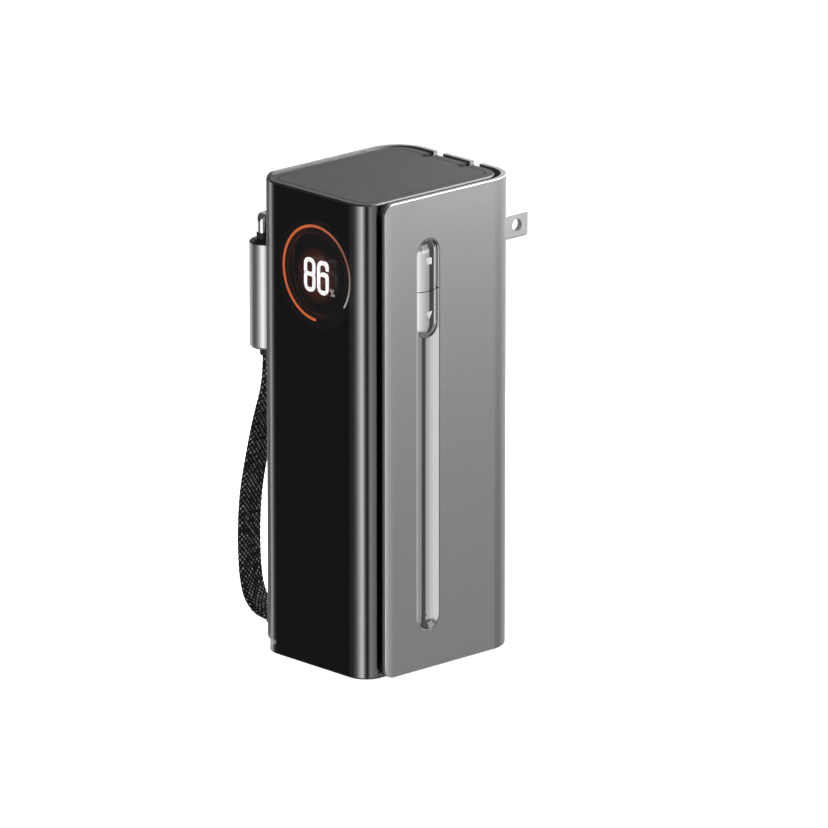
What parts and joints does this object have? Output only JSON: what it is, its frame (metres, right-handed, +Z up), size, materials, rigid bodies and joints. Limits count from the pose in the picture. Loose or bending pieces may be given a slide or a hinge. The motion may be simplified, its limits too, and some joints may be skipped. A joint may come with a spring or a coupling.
{
  "type": "pocket power station",
  "caption": "Tall pocket power station: black glossy core with round display in a U-shaped aluminium shell, folding mains prongs, polished buttons, woven captive lead.",
  "frame": {"origin": "middle of the flat base, on the surface that it stands on; X and Y centre of the body, not of the prongs or lead", "axes": "+Z up, -Y front with the display, +X right side with the buttons, +Y back with the mains prongs, -X left side with the captive lead"},
  "size_m": [0.0561, 0.0646, 0.1176],
  "materials": {
    "satin_aluminium": "fine bead-blasted and anodised, satin",
    "smoked_window": "deep black, high gloss",
    "matt_black": "fine moulded texture",
    "panel_black": "fine matt texture",
    "case_black": "plain moulded",
    "polished_metal": "mirror polished",
    "display_black": "dark display face",
    "display_light": "lit graphics of the display",
    "plated_blade": "nickel plated, fine linishing marks",
    "brass": "stamped spring brass",
    "steel": "plain",
    "cell_wrap": "shrink-wrapped can",
    "circuit_board": "solder mask",
    "component_black": "moulded parts",
    "ferrite": "sintered ferrite",
    "winding_tape": "taped winding",
    "capacitor_can": "sleeved can",
    "flex_amber": "polyimide film",
    "lead_red": "insulated wire",
    "woven_sleeve": "braided sleeve, black with light grey flecks",
    "black_rubber": "soft matt",
    "plug_black": "satin moulded"
  },
  "bodies": {
    "body": {"outer_shell": "satin_aluminium", "shell_liner": "matt_black", "front_cover": "smoked_window", "main_case": "case_black", "top_cap": "matt_black", "top_panel": "panel_black", "bottom_cap": "matt_black", "case_screws": "steel", "channel_insert": "polished_metal", "tact_switches": "component_black", "switch_board": "circuit_board", "board_connector": "component_black", "display_panel": "display_black", "display_board": "circuit_board", "display_flex": "flex_amber", "prong_housing": "case_black", "housing_screws": "steel", "ac_contacts": "brass", "detent_springs": "steel", "front_cell": "cell_wrap", "rear_cell": "cell_wrap", "cell_holder_bottom": "case_black", "cell_holder_top": "case_black", "nickel_strips": "steel", "battery_leads": "lead_red", "main_board": "circuit_board", "main_board_coils": "ferrite", "main_board_chips": "component_black", "main_board_capacitors": "capacitor_can", "mains_board": "circuit_board", "transformer": "ferrite", "transformer_winding": "winding_tape", "bulk_capacitors": "capacitor_can", "usb_port_shell": "steel", "usb_port_tongue": "component_black", "usb_board": "circuit_board", "strap_cable": "woven_sleeve", "strap_boot": "black_rubber", "lead_tail": "black_rubber", "plug_housing": "satin_aluminium", "plug_boot": "black_rubber", "plug_insert": "plug_black", "plug_magnet": "steel", "dock_magnet": "steel", "plug_shell": "polished_metal", "plug_tongue": "component_black", "plug_seal": "black_rubber"},
    "prongs": {"prong_pin": "steel", "prong_collars": "matt_black", "prong_blade_left": "plated_blade", "prong_blade_right": "plated_blade"},
    "upper_button": {"upper_button": "polished_metal", "upper_plunger": "component_black"},
    "lower_button": {"lower_button": "polished_metal", "lower_plunger": "component_black"}
  },
  "joints": [
    {"name": "prong_fold", "type": "hinge", "parent": "body", "child": "prongs", "pos_m": [0, 0.0219, 0.0989], "axis": [1, 0, 0], "range_deg": [0, 90]},
    {"name": "upper_button_press", "type": "slide", "parent": "body", "child": "upper_button", "axis": [-1, 0, 0], "range_m": [0, 0.0004], "stiffness_N_per_m": 2500},
    {"name": "lower_button_press", "type": "slide", "parent": "body", "child": "lower_button", "axis": [-1, 0, 0], "range_m": [0, 0.0004], "stiffness_N_per_m": 2500}
  ]
}
